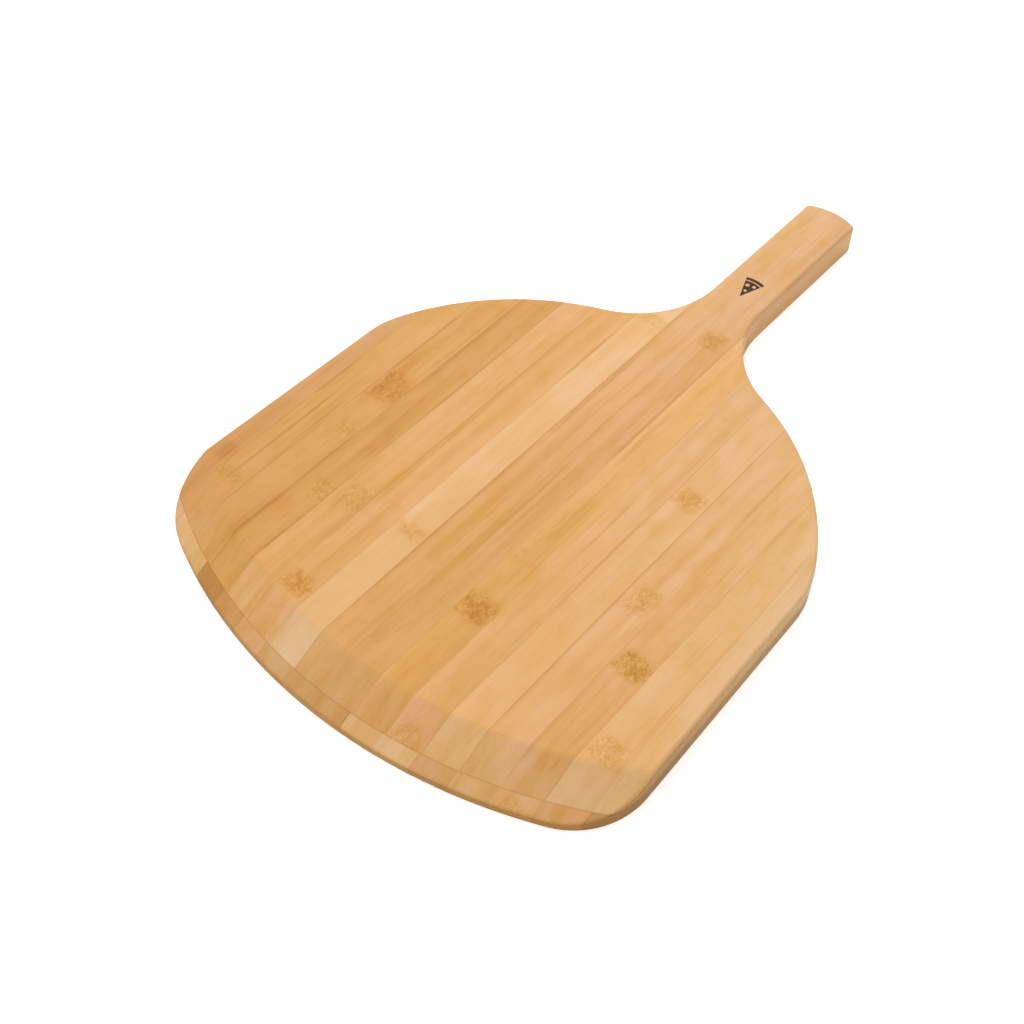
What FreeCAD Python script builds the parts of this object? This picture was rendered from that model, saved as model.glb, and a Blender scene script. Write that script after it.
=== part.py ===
import FreeCAD, Part
import math
import os
import Sketcher

# Pizza peel: a wide blade with a bowed, bevelled front edge and a short handle, all in one board.
# The board is pressed from two plies of flat bamboo strips that run from the blade to the handle.
# Frame: +Z up, +Y towards the handle, +X across the blade, origin at the centre of the underside.
# Lengths are in millimetres and angles in degrees.
DIMENSIONS = [
    ("blade_width", 305.0),
    ("overall_length", 467.0),
    ("board_thickness", 20.0),
    ("ply_thickness", 10.0),
    ("front_radius", 309.0),
    ("corner_radius", 45.0),
    ("side_taper", 1.2),
    ("side_length", 128.0),
    ("shoulder_radius", 54.0),
    ("shoulder_sweep", 23.5),
    ("blade_radius", 161.5),
    ("neck_radius", 62.0),
    ("handle_width", 35.0),
    ("end_corner_radius", 2.5),
    ("end_radius", 37.0),
    ("bevel_length", 28.0),
    ("bevel_edge_thickness", 6.0),
    ("bevel_overrun", 5.0),
    ("ridge_blend_radius", 6.0),
    ("upper_edge_round", 2.0),
    ("lower_edge_round", 1.5),
    ("upper_strip_width", 19.75),
    ("upper_first_joint", -137.0),
    ("lower_strip_width", 20.0),
    ("lower_first_joint", -140.5),
    ("cutter_margin", 5.0),
]
STRIPS_PER_PLY = 16
DIM = dict(DIMENSIONS)
X_AXIS, Y_AXIS, ORIGIN = -1, -2, -1
START, END, CENTRE = 1, 2, 3

doc = FreeCAD.newDocument("PizzaPeel")
sheet = doc.addObject("Spreadsheet::Sheet", "Dimensions")
for row, (alias, value) in enumerate(DIMENSIONS, 1):
    sheet.set(f"A{row}", alias)
    sheet.set(f"B{row}", str(value))
    sheet.setAlias(f"B{row}", alias)
doc.recompute()


def origin_plane(body, role):
    """The body's own origin plane with this role."""
    return next(item for item in body.Origin.OriginFeatures if item.Role == role)


def new_sketch(body, name, role):
    """A sketch on one of the body's origin planes."""
    sketch = body.newObject("Sketcher::SketchObject", name)
    sketch.AttachmentSupport = [(origin_plane(body, role), "")]
    sketch.MapMode = "FlatFace"
    return sketch


def drive(sketch, name, expression, *constraint):
    """A dimension of the sketch, named and bound to the sheet."""
    index = sketch.addConstraint(Sketcher.Constraint(*constraint))
    sketch.renameConstraint(index, name)
    sketch.setExpression(f".Constraints.{name}", expression)


def polar(centre, radius, angle):
    """The point at this angle, in degrees, on a circle."""
    turn = math.radians(angle)
    return FreeCAD.Vector(centre.x + radius * math.cos(turn), centre.y + radius * math.sin(turn), 0)


def add_arc(sketch, side, centre, radius, first, last):
    """A counter-clockwise arc, mirrored in the Y axis for side -1."""
    if side < 0:
        centre = FreeCAD.Vector(-centre.x, centre.y, 0)
        first, last = 180 - last, 180 - first
    circle = Part.Circle(centre, FreeCAD.Vector(0, 0, 1), radius)
    return sketch.addGeometry(Part.ArcOfCircle(circle, math.radians(first), math.radians(last)))


def add_line(sketch, side, start, end):
    """A straight edge, mirrored in the Y axis for side -1."""
    ends = [FreeCAD.Vector(side * point.x, point.y, 0) for point in (start, end)]
    return sketch.addGeometry(Part.LineSegment(*ends))


def draw_outline(sketch):
    """The board's plan: eight tangent edges on each side of the centre line."""
    half_length = DIM["overall_length"] / 2
    half_blade = DIM["blade_width"] / 2
    half_handle = DIM["handle_width"] / 2
    taper = DIM["side_taper"]
    front_centre = FreeCAD.Vector(0, DIM["front_radius"] - half_length, 0)
    end_centre = FreeCAD.Vector(0, half_length - DIM["end_radius"], 0)

    corner_x = half_blade - DIM["corner_radius"]
    corner_reach = DIM["front_radius"] - DIM["corner_radius"]
    front_half_angle = math.degrees(math.asin(corner_x / corner_reach))
    corner_centre = polar(front_centre, corner_reach, front_half_angle - 90)
    side_start = polar(corner_centre, DIM["corner_radius"], taper)
    side_end = polar(side_start, DIM["side_length"], 90 + taper)
    shoulder_centre = polar(side_end, -DIM["shoulder_radius"], taper)
    shoulder_last = taper + DIM["shoulder_sweep"]
    blade_start = polar(shoulder_centre, DIM["shoulder_radius"], shoulder_last)
    blade_centre = polar(blade_start, -DIM["blade_radius"], shoulder_last)
    neck_reach = DIM["blade_radius"] + DIM["neck_radius"]
    neck_x = half_handle + DIM["neck_radius"]
    blade_last = math.degrees(math.acos((neck_x - blade_centre.x) / neck_reach))
    neck_centre = polar(blade_centre, neck_reach, blade_last)
    end_reach = DIM["end_radius"] - DIM["end_corner_radius"]
    end_first = math.degrees(math.acos((half_handle - DIM["end_corner_radius"]) / end_reach))
    end_corner_centre = polar(end_centre, end_reach, end_first)
    handle_start = FreeCAD.Vector(half_handle, neck_centre.y, 0)
    handle_end = FreeCAD.Vector(half_handle, end_corner_centre.y, 0)

    front = add_arc(
        sketch, 1, front_centre, DIM["front_radius"], -90 - front_half_angle, front_half_angle - 90
    )
    butt = add_arc(sketch, 1, end_centre, DIM["end_radius"], end_first, 180 - end_first)
    for arc, name in ((front, "front"), (butt, "end")):
        sketch.addConstraint(Sketcher.Constraint("PointOnObject", arc, CENTRE, Y_AXIS))
        radius = DIM[f"{name}_radius"]
        drive(sketch, f"{name}_radius", f"Dimensions.{name}_radius", "Radius", arc, radius)
    drive(
        sketch, "front_centre", "Dimensions.front_radius - Dimensions.overall_length / 2",
        "DistanceY", ORIGIN, START, front, CENTRE, front_centre.y,
    )
    drive(
        sketch, "end_centre", "Dimensions.overall_length / 2 - Dimensions.end_radius",
        "DistanceY", ORIGIN, START, butt, CENTRE, end_centre.y,
    )

    for side, tag in ((1, "right"), (-1, "left")):
        arcs = {
            "corner": add_arc(
                sketch, side, corner_centre, DIM["corner_radius"], front_half_angle - 90, taper
            ),
            "shoulder": add_arc(
                sketch, side, shoulder_centre, DIM["shoulder_radius"], taper, shoulder_last
            ),
            "blade": add_arc(
                sketch, side, blade_centre, DIM["blade_radius"], shoulder_last, blade_last
            ),
            "neck": add_arc(sketch, side, neck_centre, DIM["neck_radius"], 180, 180 + blade_last),
            "end_corner": add_arc(
                sketch, side, end_corner_centre, DIM["end_corner_radius"], 0, end_first
            ),
        }
        edge = add_line(sketch, side, side_start, side_end)
        grip = add_line(sketch, side, handle_start, handle_end)
        first, last = (START, END) if side > 0 else (END, START)
        for joint in (
            (front, last, arcs["corner"], first),
            (arcs["corner"], last, edge, START),
            (edge, END, arcs["shoulder"], first),
            (arcs["shoulder"], last, arcs["blade"], first),
            (arcs["blade"], last, arcs["neck"], last),
            (arcs["neck"], first, grip, START),
            (grip, END, arcs["end_corner"], first),
            (arcs["end_corner"], last, butt, first),
        ):
            sketch.addConstraint(Sketcher.Constraint("Tangent", *joint))
        for name, arc in arcs.items():
            cell = f"Dimensions.{name}_radius"
            drive(sketch, f"{tag}_{name}", cell, "Radius", arc, DIM[f"{name}_radius"])
        sketch.addConstraint(Sketcher.Constraint("Vertical", grip))
        corner_end = (ORIGIN, START, arcs["corner"], CENTRE)
        grip_end = (ORIGIN, START, grip, START)
        if side < 0:
            corner_end = corner_end[2:] + corner_end[:2]
            grip_end = grip_end[2:] + grip_end[:2]
        drive(
            sketch, f"{tag}_corner_x", "Dimensions.blade_width / 2 - Dimensions.corner_radius",
            "DistanceX", *corner_end, corner_x,
        )
        drive(
            sketch, f"{tag}_grip_x", "Dimensions.handle_width / 2",
            "DistanceX", *grip_end, half_handle,
        )
        drive(
            sketch, f"{tag}_taper", f"(90 + {side} * Dimensions.side_taper) * 1 deg",
            "Angle", edge, math.radians(90 + side * taper),
        )
        drive(
            sketch, f"{tag}_side", "Dimensions.side_length", "Distance", edge, DIM["side_length"]
        )
        drive(
            sketch, f"{tag}_sweep", "Dimensions.shoulder_sweep * 1 deg",
            "Angle", arcs["shoulder"], math.radians(DIM["shoulder_sweep"]),
        )


def draw_bevel(sketch):
    """The wedge cut from the front, drawn as radius and height about the front arc's centre."""
    rise = DIM["board_thickness"] - DIM["bevel_edge_thickness"]
    inner = DIM["front_radius"] - DIM["bevel_length"]
    outer = DIM["front_radius"] + DIM["bevel_overrun"]
    top = DIM["board_thickness"]
    low = DIM["bevel_edge_thickness"] - DIM["bevel_overrun"] * rise / DIM["bevel_length"]
    high = top + DIM["cutter_margin"]
    corners = [(-inner, top), (-outer, low), (-outer, high), (-inner, high)]
    points = [FreeCAD.Vector(x, y, 0) for x, y in corners]
    lines = []
    for start, end in zip(points, points[1:] + points[:1]):
        lines.append(sketch.addGeometry(Part.LineSegment(start, end)))
    for line, following in zip(lines, lines[1:] + lines[:1]):
        sketch.addConstraint(Sketcher.Constraint("Coincident", line, END, following, START))
    for line in (lines[1], lines[3]):
        sketch.addConstraint(Sketcher.Constraint("Vertical", line))
    sketch.addConstraint(Sketcher.Constraint("Horizontal", lines[2]))
    drive(
        sketch, "inner_radius", "Dimensions.front_radius - Dimensions.bevel_length",
        "DistanceX", lines[0], START, ORIGIN, START, inner,
    )
    drive(
        sketch, "outer_radius", "Dimensions.front_radius + Dimensions.bevel_overrun",
        "DistanceX", lines[0], END, ORIGIN, START, outer,
    )
    drive(
        sketch, "ridge_height", "Dimensions.board_thickness",
        "DistanceY", ORIGIN, START, lines[0], START, top,
    )
    drive(
        sketch, "low_height",
        "Dimensions.bevel_edge_thickness - Dimensions.bevel_overrun"
        " * (Dimensions.board_thickness - Dimensions.bevel_edge_thickness)"
        " / Dimensions.bevel_length",
        "DistanceY", ORIGIN, START, lines[0], END, low,
    )
    drive(
        sketch, "high_height", "Dimensions.board_thickness + Dimensions.cutter_margin",
        "DistanceY", ORIGIN, START, lines[2], END, high,
    )


def is_wall(face):
    """Whether a face stands upright."""
    u_first, u_last, v_first, v_last = face.ParameterRange
    return abs(face.normalAt((u_first + u_last) / 2, (v_first + v_last) / 2).z) < 0.01


def edge_names(shape, wanted):
    """Names of the edges whose height range and number of upright faces pass the test."""
    names = []
    for number, edge in enumerate(shape.Edges, 1):
        walls = sum(is_wall(face) for face in shape.ancestorsOfType(edge, Part.Face))
        if wanted(edge.BoundBox, walls):
            names.append(f"Edge{number}")
    return names


def round_edges(body, name, radius_cell, wanted):
    """A fillet over the chosen edges of the body's last feature."""
    base = body.Tip
    fillet = body.newObject("PartDesign::Fillet", name)
    fillet.Base = (base, edge_names(base.Shape, wanted))
    fillet.setExpression("Radius", f"Dimensions.{radius_cell}")
    doc.recompute()
    return fillet


board = doc.addObject("PartDesign::Body", "Board")
outline = new_sketch(board, "Outline", "XY_Plane")
draw_outline(outline)
doc.recompute()
slab = board.newObject("PartDesign::Pad", "Slab")
slab.Profile = outline
slab.setExpression("Length", "Dimensions.board_thickness")
doc.recompute()
slab_volume = slab.Shape.Volume

wedge = new_sketch(board, "BevelProfile", "YZ_Plane")
wedge.setExpression(
    ".AttachmentOffset.Base.x", "Dimensions.front_radius - Dimensions.overall_length / 2"
)
draw_bevel(wedge)
doc.recompute()
bevel = board.newObject("PartDesign::Groove", "FrontBevel")
bevel.Profile = wedge
bevel.ReferenceAxis = (wedge, ["V_Axis"])
bevel.Angle = 360
doc.recompute()
if bevel.Shape.Volume > slab_volume - 1000:
    raise RuntimeError("the front bevel removed nothing")

TOP = DIM["board_thickness"]
round_edges(
    board, "RidgeBlend", "ridge_blend_radius",
    lambda box, walls: walls == 0 and box.ZMin > TOP - 0.01,
)
round_edges(
    board, "UpperEdgeRound", "upper_edge_round",
    lambda box, walls: walls == 1 and box.ZMin > 0.01,
)
round_edges(
    board, "LowerEdgeRound", "lower_edge_round",
    lambda box, walls: walls == 1 and box.ZMax < 0.01,
)


def add_strip(ply, number, height):
    """One bamboo strip: the board's material between two joints of one ply."""
    cutter = doc.addObject("Part::Box", f"{ply.title()}Cutter{number:02d}")
    cutter.setExpression("Length", f"Dimensions.{ply}_strip_width")
    cutter.setExpression("Width", "Dimensions.overall_length + 2 * Dimensions.cutter_margin")
    cutter.setExpression("Height", "Dimensions.ply_thickness")
    cutter.setExpression(
        ".Placement.Base.x",
        f"Dimensions.{ply}_first_joint + {number - 2} * Dimensions.{ply}_strip_width",
    )
    cutter.setExpression(
        ".Placement.Base.y", "-Dimensions.overall_length / 2 - Dimensions.cutter_margin"
    )
    cutter.setExpression(".Placement.Base.z", height)
    strip = doc.addObject("Part::Common", f"{ply.title()}Strip{number:02d}")
    strip.Base = board
    strip.Tool = cutter
    strip.Label = f"{ply}_strip_{number:02d}"
    return strip


strips = []
for ply, height in (("upper", "Dimensions.ply_thickness"), ("lower", "0 * Dimensions.ply_thickness")):
    for number in range(1, STRIPS_PER_PLY + 1):
        strips.append(add_strip(ply, number, height))
doc.recompute()

for item in doc.Objects:
    if "Invalid" in item.State or "Error" in item.State:
        raise RuntimeError(f"{item.Name} did not recompute")
if outline.solve() != 0 or wedge.solve() != 0:
    raise RuntimeError("a sketch does not solve")
for strip in strips:
    if strip.Shape.isNull() or not strip.Shape.isValid() or len(strip.Shape.Solids) != 1:
        raise RuntimeError(f"{strip.Label} is not one valid solid")
total = sum(strip.Shape.Volume for strip in strips)
if abs(total - board.Shape.Volume) > 1:
    raise RuntimeError("the strips do not add up to the board")

os.makedirs("parts", exist_ok=True)
for strip in strips:
    strip.Shape.exportStep(f"parts/{strip.Label}.step")
print(f"{len(strips)} strips, {total / 1000:.0f} cubic centimetres")
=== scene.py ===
import math

import bpy
from mathutils import Matrix, Vector


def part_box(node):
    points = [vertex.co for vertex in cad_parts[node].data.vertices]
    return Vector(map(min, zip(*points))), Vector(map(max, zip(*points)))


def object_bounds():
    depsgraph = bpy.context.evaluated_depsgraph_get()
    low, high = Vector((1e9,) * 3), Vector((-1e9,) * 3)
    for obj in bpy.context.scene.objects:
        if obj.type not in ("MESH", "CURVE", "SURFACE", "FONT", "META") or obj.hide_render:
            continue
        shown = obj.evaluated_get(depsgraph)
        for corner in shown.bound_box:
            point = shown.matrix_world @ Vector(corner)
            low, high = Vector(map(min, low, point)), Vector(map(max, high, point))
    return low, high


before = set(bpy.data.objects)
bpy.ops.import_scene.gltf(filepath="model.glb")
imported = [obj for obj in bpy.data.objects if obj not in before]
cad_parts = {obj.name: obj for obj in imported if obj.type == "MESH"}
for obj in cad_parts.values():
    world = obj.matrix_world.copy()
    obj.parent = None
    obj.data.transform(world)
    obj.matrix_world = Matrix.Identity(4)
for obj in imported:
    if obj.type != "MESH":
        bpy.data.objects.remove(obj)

# The shaders work in millimetres, in the board's own frame. x is measured from the middle of the
# board, and the distances along it start at its front edge.
CAD_BOX = [list(corner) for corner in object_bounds()]
MM = 1000.0
FRONT = CAD_BOX[0][1] * MM
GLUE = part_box("lower_strip_08")[1][2] * MM  # height of the glued face between the plies
HANDLE_STRIPS = (8, 9)
BLADE_REACH = 300.0  # how far the tints run from front to rear on the blade's strips
HANDLE_REACH = 440.0  # and on the strips that carry on into the marked handle
EXPOSURE = (0.615, 0.59, 0.53)  # the tints are as the studio light shows them: this takes it out

# The mark on the handle is a slice of pizza: its tip's distance and x, its colour as shown, half its
# angle in radians, the radii where the topping ends and where the crust begins and ends, and the
# holes for pieces of topping (across and up from the tip, radius).
MARK_TIP = 362.0
MARK_MIDDLE = -0.8
MARK_COLOUR = (34, 24, 18)
MARK_ANGLE = 0.36
TOPPING_END, CRUST_START, CRUST_END = 15.2, 16.0, 18.3
MARK_HOLES = ((-0.3, 6.3, 1.0), (-2.0, 11.4, 1.3), (2.2, 12.2, 1.15))
EDGE = 0.1  # half the width of the mark's soft edges

# The photograph's camera: angles in degrees, lengths in metres, and its focal length in pixels of a
# picture 1024 wide.
VIEW_AZIMUTH, VIEW_ELEVATION = 40.415, 50.807
VIEW_DISTANCE = 0.75621
VIEW_TARGET = (-0.007017, -0.074585, 0.0)
HALF_PICTURE, FOCAL_LENGTH = 512, 1394.19

# Strips from -X to +X: tint at the front, tint towards the handle, contrast of the grain, and the
# strength of the joint line on the left and on the right.
# On the upper ply the tints towards the handle are paler and bluer, partly the bamboo's tone and
# partly a painted sheen.
UPPER = [
    ((209, 149, 79), (219, 172, 119), 1.0, 0.0, 0.3),
    ((215, 158, 85), (224, 171, 105), 1.1, 0.3, 0.4),
    ((216, 158, 84), (225, 170, 104), 1.1, 0.4, 0.5),
    ((216, 158, 82), (220, 164, 99), 1.1, 0.5, 0.4),
    ((223, 168, 98), (229, 178, 122), 1.0, 0.4, 0.4),
    ((225, 170, 106), (230, 179, 119), 0.9, 0.4, 0.25),
    ((231, 183, 130), (238, 192, 146), 0.5, 0.25, 0.5),
    ((220, 166, 98), (232, 184, 140), 1.0, 0.5, 0.2),
    ((219, 165, 97), (229, 180, 136), 1.0, 0.2, 0.2),
    ((223, 167, 95), (234, 185, 128), 1.1, 0.2, 0.15),
    ((228, 174, 114), (231, 184, 137), 0.9, 0.15, 0.4),
    ((229, 179, 117), (234, 187, 142), 0.8, 0.4, 0.45),
    ((228, 177, 121), (231, 184, 136), 0.8, 0.45, 0.25),
    ((226, 174, 119), (233, 187, 137), 0.9, 0.25, 0.3),
    ((232, 183, 130), (233, 190, 142), 0.8, 0.3, 0.2),
    ((231, 184, 130), (231, 192, 150), 0.8, 0.2, 0.0),
]
LOWER = [
    ((220, 174, 120), (224, 180, 126), 0.8, 0.0, 0.2),
    ((225, 178, 120), (228, 182, 126), 0.8, 0.2, 0.3),
    ((223, 175, 110), (226, 176, 112), 0.9, 0.3, 0.7),
    ((193, 137, 66), (200, 146, 80), 1.1, 0.7, 0.3),
    ((208, 153, 86), (212, 158, 94), 1.1, 0.3, 0.3),
    ((220, 165, 105), (222, 168, 108), 1.0, 0.3, 0.4),
    ((215, 167, 106), (218, 170, 112), 1.0, 0.4, 0.3),
    ((211, 160, 96), (224, 176, 128), 1.0, 0.3, 0.3),
    ((212, 158, 94), (226, 178, 130), 1.1, 0.3, 0.6),
    ((228, 178, 118), (226, 176, 120), 0.7, 0.6, 0.2),
    ((231, 186, 129), (228, 184, 130), 0.7, 0.2, 0.4),
    ((220, 169, 110), (216, 168, 110), 1.0, 0.4, 0.3),
    ((225, 177, 119), (220, 172, 118), 0.9, 0.3, 0.3),
    ((229, 177, 121), (220, 168, 110), 1.0, 0.3, 0.3),
    ((225, 171, 113), (216, 164, 106), 1.0, 0.3, 0.3),
    ((206, 156, 96), (212, 164, 110), 0.9, 0.3, 0.0),
]

# The bamboo's own nodes: x, distance, half width, half length, darkness, paleness.
UPPER_NODES = [
    (30, 89, 10.5, 9, 1.0, 0.5), (110, 111, 9.5, 8, 1.0, 0.3), (-107, 171, 10.5, 13, 0.75, 0.5),
    (-105, 130, 7, 10, 0.3, 0.5), (-82, 92, 8, 8, 0.2, 1.3), (-66, 101, 8, 10, 0.3, 0.7),
    (-48, 42, 9, 7, 0.75, 0.9), (-29, 103, 10, 5, 0.5, 0.1), (90, 145, 8, 9, 0.5, 0.6),
    (130, 67, 9, 8, 0.4, 0.8), (70, 213, 9, 8, 0.5, 0.5), (10, 320, 8, 8, 0.6, 0.5),
    (-28, 312, 9, 5, 0.4, 0.3), (-128, 69, 8, 6, 0.35, 0.5), (22.5, 127, 5, 6, 0.25, 0.2),
    (50, 14, 8, 9, 0.4, 0.6), (-144, 92, 4, 4, 0.1, 0.9),
]
LOWER_NODES = [
    (-110, 62, 10, 8, 0.6, 0.4), (-90, 215, 10, 9, 0.7, 0.4), (-70, 150, 10, 9, 0.8, 0.4),
    (-50, 250, 10, 9, 0.6, 0.5), (-30, 95, 10, 9, 0.9, 0.4), (-10, 338, 10, 9, 0.7, 0.5),
    (10, 182, 10, 9, 0.6, 0.4), (30, 118, 10, 9, 0.8, 0.4), (50, 262, 10, 9, 0.5, 0.5),
    (70, 72, 10, 9, 0.9, 0.4), (90, 205, 10, 9, 0.5, 0.4), (112, 21, 8, 5, 0.3, 0.6),
    (129, 137, 10, 9, 0.8, 0.4),
]

# Stains along and beside the joints: x, distance, half width, half length, strength, colour.
UPPER_STAINS = [
    (-97.3, 62, 1.9, 22, 0.8, "brown"), (-94, 60, 4.5, 16, 0.4, "gold"),
    (-90, 68, 3.0, 14, 0.3, "red"), (-120, 128, 1.0, 24, 0.55, "brown"),
    (-55.6, 150, 1.0, 60, 0.3, "brown"), (-97.6, 108, 1.2, 26, 0.55, "brown"),
    (-96, 222, 2.2, 44, 0.4, "brown"), (-128.5, 108, 1.3, 46, 0.7, "brown"),
    (-125, 128, 3, 40, 0.5, "gold"), (-137, 158, 1.5, 20, 0.5, "brown"),
    (-144, 79, 9, 8, 0.45, "brown"), (-143, 82, 8, 14, 0.5, "gold"),
    (-118, 98, 1.1, 48, 0.35, "brown"), (-117, 212, 1.6, 34, 0.7, "brown"),
    (-113, 192, 4.5, 22, 0.5, "gold"), (-77.6, 206, 1.3, 46, 0.55, "brown"),
    (-78, 60, 1.2, 16, 0.4, "brown"), (-82, 137, 6.5, 16, 0.25, "brown"),
    (0, 395, 24, 75, 0.3, "pale"), (-57.5, 170, 2.0, 110, 0.35, "brown"),
    (-57, 122, 6, 14, 0.7, "gold"), (-68, 84, 6, 9, 0.4, "gold"),
    (-60, 78, 2.0, 22, 0.4, "brown"), (-38.4, 266, 1.3, 26, 0.6, "brown"),
    (-18, 130, 1.6, 70, 0.4, "brown"), (-17, 246, 2.6, 44, 0.6, "brown"),
    (-18.5, 320, 1.2, 12, 0.5, "red"), (-9, 128, 8, 34, 0.8, "gold"),
    (3, 118, 4.5, 40, 0.65, "gold"), (5.4, 150, 1.0, 50, 0.55, "brown"),
    (8.2, 150, 1.2, 48, 0.6, "pale"), (20, 243, 1.6, 42, 0.6, "brown"),
    (25, 232, 2.2, 30, 0.4, "brown"), (30, 42, 9, 14, 0.75, "gold"),
    (48, 170, 1.0, 22, 0.35, "brown"), (52, 200, 4, 30, 0.3, "rosy"),
    (59.6, 150, 1.0, 50, 0.6, "brown"), (64, 150, 2.4, 70, 0.3, "pale"),
    (79.8, 120, 0.9, 84, 0.45, "brown"), (84, 90, 3, 60, 0.25, "pale"),
    (101, 70, 2.0, 34, 0.3, "brown"), (99, 243, 1.0, 30, 0.5, "brown"),
    (118.6, 222, 1.0, 24, 0.5, "brown"), (138, 206, 1.0, 20, 0.35, "brown"),
    (109, 72, 9, 30, 0.5, "gold"), (-28, 296, 14, 12, 0.5, "gold"), (-60, 45, 6, 8, 0.2, "pale"),
    (-28, 14, 11, 16, 0.6, "pale"), (-68, 22, 10, 12, 0.5, "pale"),
    (-48, 18, 10, 13, 0.25, "gold"), (30, 14, 10, 14, 0.25, "brown"),
    (89.5, 22, 10, 14, 0.15, "brown"), (50, 105, 10, 30, 0.25, "gold"),
    (0, 440, 24, 40, 0.35, "pale"), (70, 18, 10, 14, 0.25, "pale"),
    (-112, 56, 34, 22, 0.12, "brown"), (-108, 145, 12, 60, 0.35, "gold"),
    (-134, 110, 10, 60, 0.3, "gold"), (-84, 170, 8, 50, 0.25, "gold"),
    (109, 35, 9, 18, 0.3, "gold"),
]
LOWER_STAINS = [
    (15, 30, 4, 14, 0.5, "brown"), (-118, 180, 2, 60, 0.4, "brown"),
    (-80, 120, 1.5, 70, 0.5, "brown"), (-20.5, 210, 1.6, 80, 0.5, "brown"),
    (39.5, 90, 1.2, 60, 0.5, "brown"), (62, 150, 5, 50, 0.4, "gold"),
    (99.5, 130, 1.4, 60, 0.5, "brown"), (-45, 170, 5, 60, 0.35, "gold"),
    (4, 380, 2, 60, 0.4, "brown"), (133, 90, 4, 40, 0.3, "gold"),
]

# Each colour named below multiplies the strip's own, channel by channel: 1.0 leaves it as it is.
STAIN_COLOURS = {
    "brown": (0.72, 0.57, 0.16, 1.0),
    "gold": (0.95, 0.86, 0.40, 1.0),
    "red": (0.88, 0.69, 0.34, 1.0),
    "rosy": (1.0, 0.97, 1.08, 1.0),
    "pale": (1.06, 1.12, 1.28, 1.0),
}
# The grain: pattern, where its colour begins and where it is full, strength, whether the strip's
# contrast scales it, colour.
GRAIN_COLOURS = (
    ("patch", 0.42, 0.62, 1.0, False, (0.965, 0.95, 0.80, 1.0)),
    ("patch", 0.42, 0.25, 1.0, False, (1.02, 0.98, 1.02, 1.0)),
    ("blotch", 0.5, 0.7, 1.0, True, (0.97, 0.93, 0.78, 1.0)),
    ("blotch", 0.46, 0.28, 1.0, False, (1.02, 1.02, 1.10, 1.0)),
    ("broad", 0.52, 0.3, 0.8, True, (0.94, 0.88, 0.70, 1.0)),
    ("broad", 0.5, 0.72, 0.8, False, (1.03, 1.06, 1.14, 1.0)),
    ("streak", 0.5, 0.74, 0.45, False, (1.03, 1.06, 1.12, 1.0)),
    ("streak", 0.48, 0.26, 0.55, True, (0.93, 0.85, 0.55, 1.0)),
    ("fibre", 0.54, 0.28, 0.45, True, (0.93, 0.87, 0.70, 1.0)),
    ("fibre", 0.5, 0.7, 0.5, False, (1.03, 1.05, 1.09, 1.0)),
)
BUNDLE_ENDS = (0.80, 0.68, 0.42, 1.0)
FLECKS = (1.04, 1.07, 1.12, 1.0)
NODE_HALO = (0.95, 0.90, 0.66, 1.0)
NODE_BASE = (0.89, 0.80, 0.47, 1.0)
NODE_STROKES = (0.83, 0.72, 0.28, 1.0)
NODE_SPECKS = (1.14, 1.20, 1.34, 1.0)
JOINT_LINES = (0.62, 0.47, 0.14, 1.0)
# Painted shade on the sides, mixed with their own browner tone.
SIDE_TONE_AND_PAINTED_SHADE = (0.74, 0.71, 0.45, 1.0)
FRONT_CORNERS = (0.82, 0.74, 0.50, 1.0)
# Painted shade along the bottom edge.
BOTTOM_EDGE_PAINTED_SHADE = (0.62, 0.55, 0.40, 1.0)
# Painted light that lifts the bevel.
BEVEL_PAINTED_LIGHT = (1.01, 1.105, 1.50, 1.0)
# Paler rounded edges: partly wear, partly a painted highlight.
WORN_EDGES_AND_HIGHLIGHT = (1.08, 1.10, 1.16, 1.0)


def linear(rgb):
    """A surface's linear RGBA colour from the 0 to 255 sRGB values it shows in the studio light."""
    shown = [((value / 255 + 0.055) / 1.055) ** 2.4 for value in rgb]
    return (*(value * light for value, light in zip(shown, EXPOSURE)), 1.0)


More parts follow.
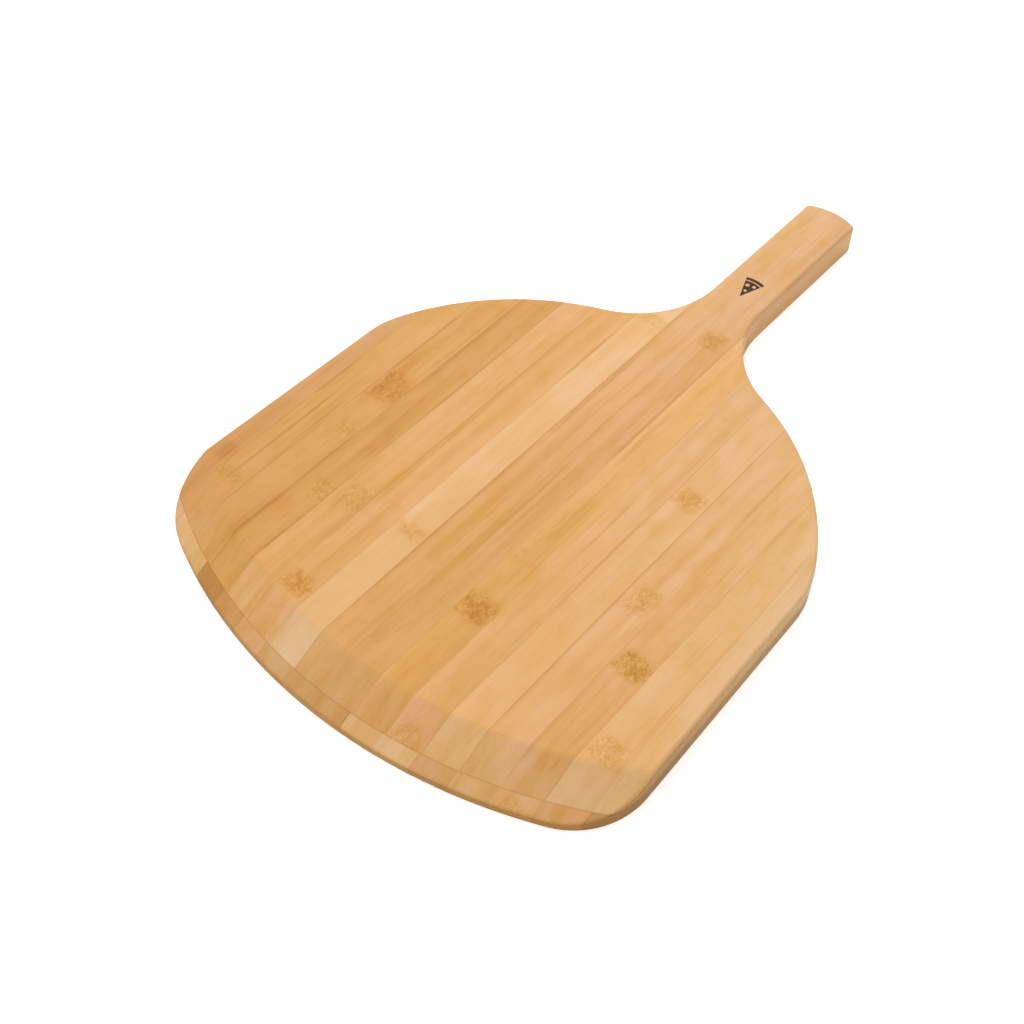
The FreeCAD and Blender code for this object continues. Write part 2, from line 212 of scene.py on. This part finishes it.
class Graph:
    """Short calls that add and link shader nodes in one tree."""

    def __init__(self, tree):
        self.tree = tree

    def node(self, kind, **settings):
        made = self.tree.nodes.new(kind)
        for name, value in settings.items():
            setattr(made, name, value)
        return made

    def feed(self, socket, value):
        if isinstance(value, bpy.types.NodeSocket):
            self.tree.links.new(value, socket)
        else:
            socket.default_value = value

    def math(self, operation, *values, clamp=False):
        made = self.node("ShaderNodeMath", operation=operation, use_clamp=clamp)
        for socket, value in zip(made.inputs, values):
            self.feed(socket, value)
        return made.outputs[0]

    def vector(self, operation, *values):
        made = self.node("ShaderNodeVectorMath", operation=operation)
        for socket, value in zip(made.inputs, values):
            self.feed(socket, value)
        return made.outputs[0]

    def scale(self, vector, factor):
        made = self.node("ShaderNodeVectorMath", operation="SCALE")
        self.feed(made.inputs[0], vector)
        made.inputs["Scale"].default_value = factor
        return made.outputs[0]

    def combine(self, *values):
        made = self.node("ShaderNodeCombineXYZ")
        for socket, value in zip(made.inputs, values):
            self.feed(socket, value)
        return made.outputs[0]

    def split(self, vector):
        made = self.node("ShaderNodeSeparateXYZ")
        self.feed(made.inputs[0], vector)
        return made.outputs

    def step(self, value, low, high, out_low=0.0, out_high=1.0):
        """Smoothly from out_low below low to out_high above high."""
        made = self.node("ShaderNodeMapRange", interpolation_type="SMOOTHSTEP")
        for socket, item in zip(made.inputs, (value, low, high, out_low, out_high)):
            self.feed(socket, item)
        return made.outputs[0]

    def length(self, across, along, power):
        """The square root of across and along, each to that power, added up."""
        powers = (self.math("POWER", across, power), self.math("POWER", along, power))
        return self.math("SQRT", self.math("ADD", *powers))

    def mix(self, factor, first, second, blend="MIX"):
        made = self.node("ShaderNodeMix", data_type="RGBA", blend_type=blend)
        self.feed(made.inputs[0], factor)
        self.feed(made.inputs[6], first)
        self.feed(made.inputs[7], second)
        return made.outputs[2]

    def shaded(self, colour, factor, multiplier):
        """The colour, multiplied where the factor is 1 and left alone where it is 0."""
        return self.mix(factor, colour, self.mix(1.0, colour, multiplier, "MULTIPLY"))

    def noise(self, vector, detail=2.0, roughness=0.5, distortion=0.0):
        made = self.node("ShaderNodeTexNoise", noise_dimensions="3D")
        self.feed(made.inputs["Vector"], vector)
        made.inputs["Scale"].default_value = 1.0
        made.inputs["Detail"].default_value = detail
        made.inputs["Roughness"].default_value = roughness
        made.inputs["Distortion"].default_value = distortion
        return made.outputs[0]

    def stretched(self, vector, across, along, **settings):
        """Noise whose cells are 1/across wide, 1/along long and three times as deep as wide."""
        return self.noise(self.vector("MULTIPLY", vector, (across, along, across / 3)), **settings)


def grain_group():
    """Solid bamboo grain along Y. Takes a place in millimetres; gives the parts of the pattern."""
    tree = bpy.data.node_groups.new("BambooGrain", "ShaderNodeTree")
    tree.interface.new_socket("Place", in_out="INPUT", socket_type="NodeSocketVector")
    for name in ("Fibre", "Streak", "Broad", "Bundle", "Patch", "Fleck"):
        tree.interface.new_socket(name, in_out="OUTPUT", socket_type="NodeSocketFloat")
    g = Graph(tree)
    place = g.node("NodeGroupInput").outputs[0]
    out = g.node("NodeGroupOutput")
    x, y, z = g.split(place)
    sway = g.stretched(place, 0.02, 0.006)
    sway = g.math("MULTIPLY_ADD", sway, 3.0, -1.5)
    swayed = g.combine(g.math("ADD", x, sway), y, z)
    g.feed(out.inputs["Fibre"], g.stretched(swayed, 2.6, 0.04, detail=4.0, roughness=0.65))
    g.feed(out.inputs["Streak"], g.stretched(swayed, 0.5, 0.009, detail=3.0, roughness=0.6))
    g.feed(out.inputs["Broad"], g.stretched(swayed, 0.13, 0.005, detail=2.0))
    g.feed(out.inputs["Patch"], g.stretched(place, 0.05, 0.022, detail=3.0))
    cells = g.node("ShaderNodeTexVoronoi", feature="F1", voronoi_dimensions="3D")
    g.feed(cells.inputs["Vector"], g.vector("MULTIPLY", swayed, (1.25, 0.075, 0.5)))
    cells.inputs["Scale"].default_value = 1.0
    cells.inputs["Randomness"].default_value = 1.0
    g.feed(out.inputs["Bundle"], g.step(cells.outputs["Distance"], 0.12, 0.42, 1.0, 0.0))
    fleck = g.stretched(swayed, 1.1, 0.16, detail=2.0, roughness=0.5)
    g.feed(out.inputs["Fleck"], g.step(fleck, 0.62, 0.78))
    return tree


def mark_mask(g, x, y):
    """A plain pizza slice with three round toppings, pointing at the blade: 1 inside, 0 outside."""
    across = g.math("SUBTRACT", x, MARK_MIDDLE)
    up = g.math("SUBTRACT", y, FRONT + MARK_TIP)
    radius = g.length(across, up, 2.0)
    angle = g.math("ABSOLUTE", g.math("ARCTAN2", across, up))
    edge = g.math("MULTIPLY", g.math("SUBTRACT", MARK_ANGLE, angle), radius)
    topping = g.step(radius, TOPPING_END - EDGE, TOPPING_END + EDGE, 1.0, 0.0)
    crust = g.step(radius, CRUST_START - EDGE, CRUST_START + EDGE)
    rim = g.step(radius, CRUST_END - EDGE, CRUST_END + EDGE, 1.0, 0.0)
    shape = g.math("ADD", topping, g.math("MULTIPLY", crust, rim), clamp=True)
    shape = g.math("MULTIPLY", shape, g.step(edge, -EDGE, EDGE))
    for hole_x, hole_y, size in MARK_HOLES:
        away = g.node("ShaderNodeVectorMath", operation="DISTANCE")
        g.feed(away.inputs[0], g.combine(across, up, 0.0))
        away.inputs[1].default_value = (hole_x, hole_y, 0.0)
        away = away.outputs["Value"]
        shape = g.math("MULTIPLY", shape, g.step(away, size - EDGE, size + EDGE))
    return shape


def nodes_of(g, wander, x, y, nodes):
    """The masks of a strip's bamboo nodes: place, darkness, paleness and the tint around them."""
    near_all, dark, pale, halo = 0.0, 0.0, 0.0, 0.0
    for node_x, distance, half_width, half_length, darkness, paleness in nodes:
        across = g.math("DIVIDE", g.math("SUBTRACT", x, node_x), half_width)
        along = g.math("DIVIDE", g.math("SUBTRACT", y, FRONT + distance), half_length)
        away = g.length(across, along, 4.0)  # the power 4 makes the node nearly square
        away = g.math("ADD", away, g.math("MULTIPLY_ADD", wander, 1.3, -0.65))
        near = g.step(away, 0.3, 1.3, 1.0, 0.0)
        near_all = g.math("ADD", near_all, near)
        dark = g.math("MULTIPLY_ADD", near, darkness, dark)
        pale = g.math("MULTIPLY_ADD", near, paleness, pale)
        halo = g.math("MULTIPLY_ADD", g.step(away, 0.6, 2.2, 1.0, 0.0), 0.5 * darkness, halo)
    return near_all, dark, pale, halo


def strip_material(name, spec, low, high, seed, grain, nodes, stains, handle, marked):
    """Oiled bamboo for one strip that lies from x = low to x = high."""
    front_tint, rear_tint, contrast, left_line, right_line = spec
    material = bpy.data.materials.new(name)
    material.use_nodes = True
    material.node_tree.nodes.clear()
    g = Graph(material.node_tree)
    coordinates = g.node("ShaderNodeTexCoord")
    place = g.scale(coordinates.outputs["Object"], MM)
    x, y, z = g.split(place)
    own_place = g.vector("ADD", place, (seed * 71.3, seed * 137.9, seed * 53.1))
    wander = g.noise(g.scale(own_place, 0.22), detail=2.0)

    # Where the culm had its nodes, the fibres swirl.
    near, dark, pale, halo = nodes_of(g, wander, x, y, nodes)
    curl = g.noise(g.scale(own_place, 0.16), detail=2.0, distortion=0.6)
    shove = g.math("MULTIPLY", g.math("SUBTRACT", curl, 0.5), 22.0)
    bent = g.vector("ADD", own_place, g.combine(g.math("MULTIPLY", shove, near), 0.0, 0.0))
    pattern = g.node("ShaderNodeGroup")
    pattern.node_tree = grain
    g.feed(pattern.inputs[0], bent)
    fibre, streak, broad, bundle, patch, fleck = pattern.outputs

    # Colour: broad bands, narrow streaks, fine fibres, and the dark ends of the fibre bundles.
    # The tint fades from front to rear; on the upper ply the paler rear is partly a painted sheen.
    forward = g.step(y, FRONT + 20, FRONT + (HANDLE_REACH if marked else BLADE_REACH))
    colour = g.mix(forward, linear(front_tint), linear(rear_tint))
    patterns = {
        "patch": patch, "broad": broad, "streak": streak, "fibre": fibre,
        "blotch": g.stretched(own_place, 0.13, 0.05, detail=3.0),
    }
    for part, begins, full, strength, scaled, tone in GRAIN_COLOURS:
        if scaled:
            strength *= contrast
        colour = g.shaded(
            colour, g.math("MULTIPLY", g.step(patterns[part], begins, full), strength), tone
        )
    colour = g.shaded(colour, g.math("MULTIPLY", bundle, 0.22 * contrast), BUNDLE_ENDS)
    colour = g.shaded(colour, g.math("MULTIPLY", fleck, 0.3), FLECKS)

    # Stains beside the joints.
    broken = g.step(streak, 0.25, 0.6, 1.0, 0.6)
    for stain_x, distance, half_width, half_length, strength, kind in stains:
        across = g.math("SUBTRACT", x, stain_x)
        across = g.math("ADD", across, g.math("MULTIPLY_ADD", wander, 1.2, -0.6))
        across = g.step(g.math("ABSOLUTE", across), 0.1 * half_width, 1.1 * half_width, 1.0, 0.0)
        along = g.math("ABSOLUTE", g.math("SUBTRACT", y, FRONT + distance))
        along = g.step(along, 0.5 * half_length, 1.15 * half_length, 1.0, 0.0)
        mask = g.math("MULTIPLY", g.math("MULTIPLY", across, along), broken)
        colour = g.shaded(colour, g.math("MULTIPLY", mask, strength), STAIN_COLOURS[kind])

    # The nodes are golden brown, with short wavy strokes darker and paler than the strip.
    waves = g.noise(g.vector("MULTIPLY", own_place, (0.46, 0.27, 0.3)), detail=1.0, distortion=0.6)
    waves = g.math("ABSOLUTE", g.math("SUBTRACT", waves, 0.5))
    dark_stroke = g.step(waves, 0.0, 0.14, 1.0, 0.0)
    glints = g.noise(g.vector("MULTIPLY", own_place, (0.48, 0.30, 0.4)), detail=0.0, distortion=0.8)
    glints = g.math("ABSOLUTE", g.math("SUBTRACT", glints, 0.57))
    pale_stroke = g.step(glints, 0.0, 0.08, 1.0, 0.0)
    colour = g.shaded(colour, halo, NODE_HALO)
    patchy = g.math("MULTIPLY", dark, g.step(curl, 0.36, 0.6, 0.45, 1.0))
    colour = g.shaded(colour, patchy, NODE_BASE)
    strokes = g.math("MULTIPLY_ADD", pale, 0.35, patchy)
    strokes = g.math("MULTIPLY", strokes, dark_stroke, clamp=True)
    colour = g.shaded(colour, strokes, NODE_STROKES)
    specks = g.math("MULTIPLY_ADD", dark, 0.4, pale)
    specks = g.math("MULTIPLY", specks, pale_stroke, clamp=True)
    colour = g.shaded(colour, specks, NODE_SPECKS)

    # Glued joints: a thin brown line along each side and between the plies.
    strength = g.step(g.stretched(own_place, 0.05, 0.012, detail=3.0), 0.36, 0.62, 0.25, 1.0)
    ragged = g.math("MULTIPLY_ADD", fibre, 0.4, -0.2)
    from_left = g.math("ADD", g.math("SUBTRACT", x, low), ragged)
    from_right = g.math("ADD", g.math("SUBTRACT", high, x), ragged)
    left = g.math("MULTIPLY", g.step(from_left, 0.1, 0.6, 1.0, 0.0), left_line)
    right = g.math("MULTIPLY", g.step(from_right, 0.1, 0.6, 1.0, 0.0), right_line)
    joints = g.math("MULTIPLY", g.math("MAXIMUM", left, right), strength)
    from_glue = g.math("ABSOLUTE", g.math("SUBTRACT", z, GLUE))
    joints = g.math("MAXIMUM", joints, g.step(from_glue, 0.05, 0.22, 0.4, 0.0))
    colour = g.shaded(colour, joints, JOINT_LINES)

    # The sides are browner and darker than the faces: partly their own tone, partly painted shade.
    facing = g.math("ABSOLUTE", g.split(coordinates.outputs["Normal"])[2])
    sides = g.step(facing, 0.1, 0.75, 1.0, 0.0)
    # The painted side shade is weaker on the handle and towards the rear.
    side_tone_and_shade = 0.3 if handle else 1.0
    side_tone_and_shade = g.step(y, FRONT + 110, FRONT + 170, side_tone_and_shade, 0.8 * side_tone_and_shade)
    colour = g.shaded(colour, g.math("MULTIPLY", sides, side_tone_and_shade), SIDE_TONE_AND_PAINTED_SHADE)
    # Darker still on the sides near the front.
    corner = g.math("MULTIPLY", sides, g.step(y, FRONT + 75, FRONT + 135, 1.0, 0.0))
    colour = g.shaded(colour, corner, FRONT_CORNERS)
    # Painted shade on the lowest millimetre and a half of the sides, where they meet the floor.
    bottom_painted_shade = g.math("MULTIPLY", g.step(z, 0.3, 1.6, 0.8, 0.0), sides)
    colour = g.shaded(colour, bottom_painted_shade, BOTTOM_EDGE_PAINTED_SHADE)
    # Painted light: the bevel is made paler and bluer, most on the left and on the upper ply, to
    # undo the shade that falls on it.
    bevel = g.math("MULTIPLY", g.step(facing, 0.80, 0.88), g.step(facing, 0.99, 0.92))
    bevel = g.math("MULTIPLY", bevel, g.step(x, -20.0, 100.0, 1.0, 0.45))
    bevel = g.math("MULTIPLY", bevel, g.step(z, GLUE - 0.1, GLUE + 0.1, 0.7, 1.0))
    colour = g.shaded(colour, bevel, BEVEL_PAINTED_LIGHT)
    # The rounded edges are paler: partly wear, partly a painted highlight.
    worn_and_highlight = g.math("MULTIPLY", g.step(facing, 0.2, 0.5), g.step(facing, 0.85, 0.65))
    colour = g.shaded(colour, g.math("MULTIPLY", worn_and_highlight, 0.25), WORN_EDGES_AND_HIGHLIGHT)

    roughness = g.math("MULTIPLY_ADD", fibre, 0.16, 0.42)
    roughness = g.math("MULTIPLY_ADD", joints, 0.15, roughness)
    relief = g.math("MULTIPLY_ADD", fibre, 0.5, g.math("MULTIPLY", bundle, -0.3))
    relief = g.math("MULTIPLY_ADD", joints, -0.8, relief)
    relief = g.math("MULTIPLY_ADD", strokes, -0.5, relief)
    if marked:
        face = g.math("GREATER_THAN", z, GLUE + 5)
        mark = g.math("MULTIPLY", mark_mask(g, x, y), face)
        soot = g.step(fibre, 0.3, 0.7, 0.9, 1.0)
        colour = g.mix(g.math("MULTIPLY", mark, soot), colour, linear(MARK_COLOUR))
        roughness = g.math("MULTIPLY_ADD", mark, 0.2, roughness)
        relief = g.math("MULTIPLY_ADD", mark, -1.5, relief)
    bump = g.node("ShaderNodeBump")
    bump.inputs["Strength"].default_value = 0.3
    bump.inputs["Distance"].default_value = 0.0001
    g.feed(bump.inputs["Height"], relief)
    shader = g.node("ShaderNodeBsdfPrincipled")
    shader.inputs["Specular IOR Level"].default_value = 0.18
    g.feed(shader.inputs["Base Color"], colour)
    g.feed(shader.inputs["Roughness"], roughness)
    g.feed(shader.inputs["Normal"], bump.outputs[0])
    output = g.node("ShaderNodeOutputMaterial")
    g.feed(output.inputs["Surface"], shader.outputs[0])
    return material


def dress_strips():
    """Gives every strip its own bamboo."""
    grain = grain_group()
    for ply, specs, nodes, stains, seed in (
        ("upper", UPPER, UPPER_NODES, UPPER_STAINS, 0),
        ("lower", LOWER, LOWER_NODES, LOWER_STAINS, 40),
    ):
        for number, spec in enumerate(specs, 1):
            name = f"{ply}_strip_{number:02d}"
            low, high = (round(corner[0] * MM, 2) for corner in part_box(name))
            handle = number in HANDLE_STRIPS
            material = strip_material(
                f"bamboo_{name}", spec, low, high, seed + number, grain,
                [node for node in nodes if low <= node[0] < high],
                [stain for stain in stains if low - stain[2] < stain[0] < high + stain[2]],
                handle, handle and ply == "upper",
            )
            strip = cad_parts[name]
            for slot in range(len(strip.data.materials)):
                strip.data.materials[slot] = material


def area_light(name, place, target, size, power):
    """A soft square lamp that faces its target."""
    data = bpy.data.lights.new(name, "AREA")
    data.shape = "SQUARE"
    data.size = size
    data.energy = power
    lamp = bpy.data.objects.new(name, data)
    lamp.location = place
    lamp.rotation_euler = (Vector(target) - Vector(place)).to_track_quat("-Z", "Y").to_euler()
    bpy.context.scene.collection.objects.link(lamp)


def build_studio():
    """A pale floor, a soft lamp high on the board's left, and even light from all round."""
    mesh = bpy.data.meshes.new("floor")
    reach = 6.0
    mesh.from_pydata(
        [(-reach, -reach, 0), (reach, -reach, 0), (reach, reach, 0), (-reach, reach, 0)],
        [], [(0, 1, 2, 3)],
    )
    floor = bpy.data.objects.new("floor", mesh)
    bpy.context.scene.collection.objects.link(floor)
    material = bpy.data.materials.new("floor")
    material.use_nodes = True
    shader = material.node_tree.nodes["Principled BSDF"]
    shader.inputs["Base Color"].default_value = (0.93, 0.93, 0.93, 1.0)
    shader.inputs["Roughness"].default_value = 0.9
    shader.inputs["Specular IOR Level"].default_value = 0.1
    shader.inputs["Emission Color"].default_value = (1.0, 1.0, 1.0, 1.0)
    shader.inputs["Emission Strength"].default_value = 0.42
    mesh.materials.append(material)
    area_light("key", (-1.9, 0.7, 3.1), (0.0, 0.0, 0.0), 2.8, 140.0)
    world = bpy.data.worlds.new("studio")
    world.use_nodes = True
    world.node_tree.nodes["Background"].inputs["Color"].default_value = (1.0, 1.0, 1.0, 1.0)
    world.node_tree.nodes["Background"].inputs["Strength"].default_value = 0.9
    bpy.context.scene.world = world
    bpy.context.scene.view_settings.view_transform = "Standard"


def place_camera():
    """The photograph's view: from the front right, looking down at the blade."""
    azimuth, elevation = math.radians(VIEW_AZIMUTH), math.radians(VIEW_ELEVATION)
    back = Vector((
        math.sin(azimuth) * math.cos(elevation),
        -math.cos(azimuth) * math.cos(elevation),
        math.sin(elevation),
    ))
    right = Vector((math.cos(azimuth), math.sin(azimuth), 0.0))
    up = back.cross(right)
    data = bpy.data.cameras.new("camera")
    data.sensor_fit = "HORIZONTAL"
    data.angle = 2 * math.atan(HALF_PICTURE / FOCAL_LENGTH)
    data.dof.use_dof = False
    camera = bpy.data.objects.new("camera", data)
    bpy.context.scene.collection.objects.link(camera)
    turn = Matrix((right, up, back)).transposed().to_4x4()
    camera.matrix_world = Matrix.Translation(Vector(VIEW_TARGET) + back * VIEW_DISTANCE) @ turn
    bpy.context.scene.camera = camera


dress_strips()
build_studio()
place_camera()
